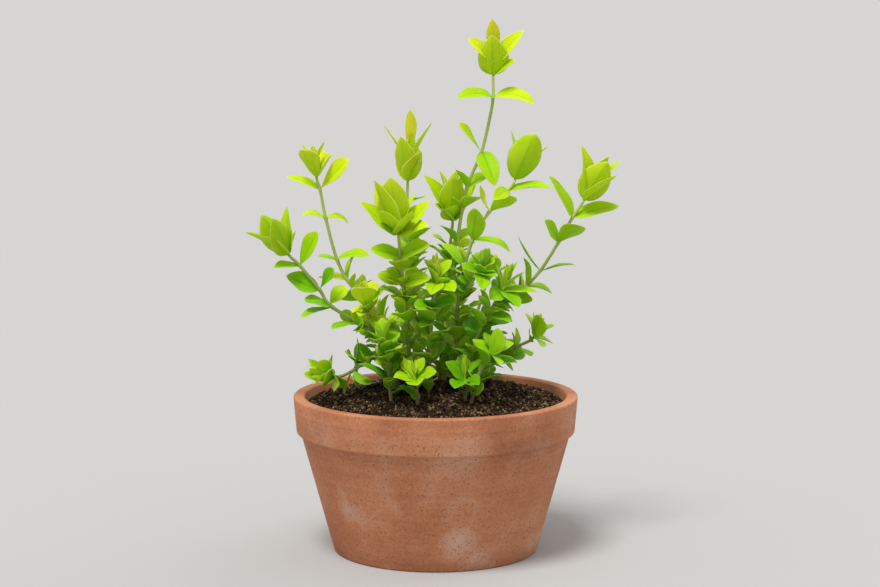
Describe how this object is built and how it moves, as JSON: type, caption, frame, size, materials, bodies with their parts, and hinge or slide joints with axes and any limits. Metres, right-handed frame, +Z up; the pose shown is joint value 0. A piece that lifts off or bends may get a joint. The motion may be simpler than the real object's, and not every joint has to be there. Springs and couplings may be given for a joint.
{
  "type": "potted bacopa",
  "caption": "Bushy bacopa stem plant with paired oval leaves, growing from a mound of dark soil in a plain tapered clay pot with a rim band and a drain hole.",
  "frame": {"origin": "middle of the pot's foot, on the surface that it stands on", "axes": "+Z up, +X to the right and +Y to the back as the picture's viewer sees the plant"},
  "size_m": [0.1297, 0.1, 0.1857],
  "materials": {
    "terracotta": "unglazed, matt, with faint turning rings and pale lime bloom",
    "soil": "dark brown granular aquatic soil, matt",
    "stem": "olive green, slightly fleshy, satin",
    "leaf": "fresh green, thin and translucent, satin",
    "young_leaf": "yellow green, thin and translucent, satin"
  },
  "bodies": {
    "root": {"pot": "terracotta", "soil": "soil", "tall_stem": "stem", "oval_bud_stem": "stem", "right_stem": "stem", "upright_stem": "stem", "left_centre_stem": "stem", "right_centre_stem": "stem", "upper_left_stem": "stem", "far_left_stem": "stem", "small_bud_stem": "stem", "low_left_stem": "stem", "right_middle_stem": "stem", "low_right_stem": "stem", "front_right_stem": "stem", "creeping_stem": "stem", "front_centre_stem": "stem", "front_low_stem": "stem", "centre_stem": "stem", "middle_stem": "stem", "back_left_stem": "stem", "back_right_stem": "stem", "back_low_stem": "stem", "back_low_left_stem": "stem", "tall_crown": "young_leaf", "oval_bud_crown": "young_leaf", "right_crown": "young_leaf", "upright_crown": "young_leaf", "left_centre_crown": "young_leaf", "right_centre_crown": "young_leaf", "upper_left_crown": "young_leaf", "far_left_crown": "young_leaf", "small_bud_crown": "young_leaf", "low_left_crown": "young_leaf", "right_middle_crown": "young_leaf", "low_right_crown": "young_leaf", "front_right_crown": "young_leaf", "creeping_crown": "young_leaf", "front_centre_crown": "young_leaf", "front_low_crown": "young_leaf", "centre_crown": "young_leaf", "middle_crown": "young_leaf", "back_left_crown": "young_leaf", "back_right_crown": "young_leaf", "back_low_crown": "young_leaf", "back_low_left_crown": "young_leaf", "tall_upper_leaves": "leaf", "tall_middle_leaves": "leaf", "oval_bud_upper_leaves": "leaf", "oval_bud_middle_leaves": "leaf", "oval_bud_lower_leaves": "leaf", "right_upper_leaves": "leaf", "right_middle_leaves": "leaf", "right_lower_leaves": "leaf", "left_centre_leaves": "leaf", "upper_left_top_leaves": "leaf", "upper_left_middle_leaves": "leaf", "upper_left_lower_leaves": "leaf", "far_left_upper_leaves": "leaf", "far_left_lower_leaves": "leaf"}
  },
  "joints": []
}
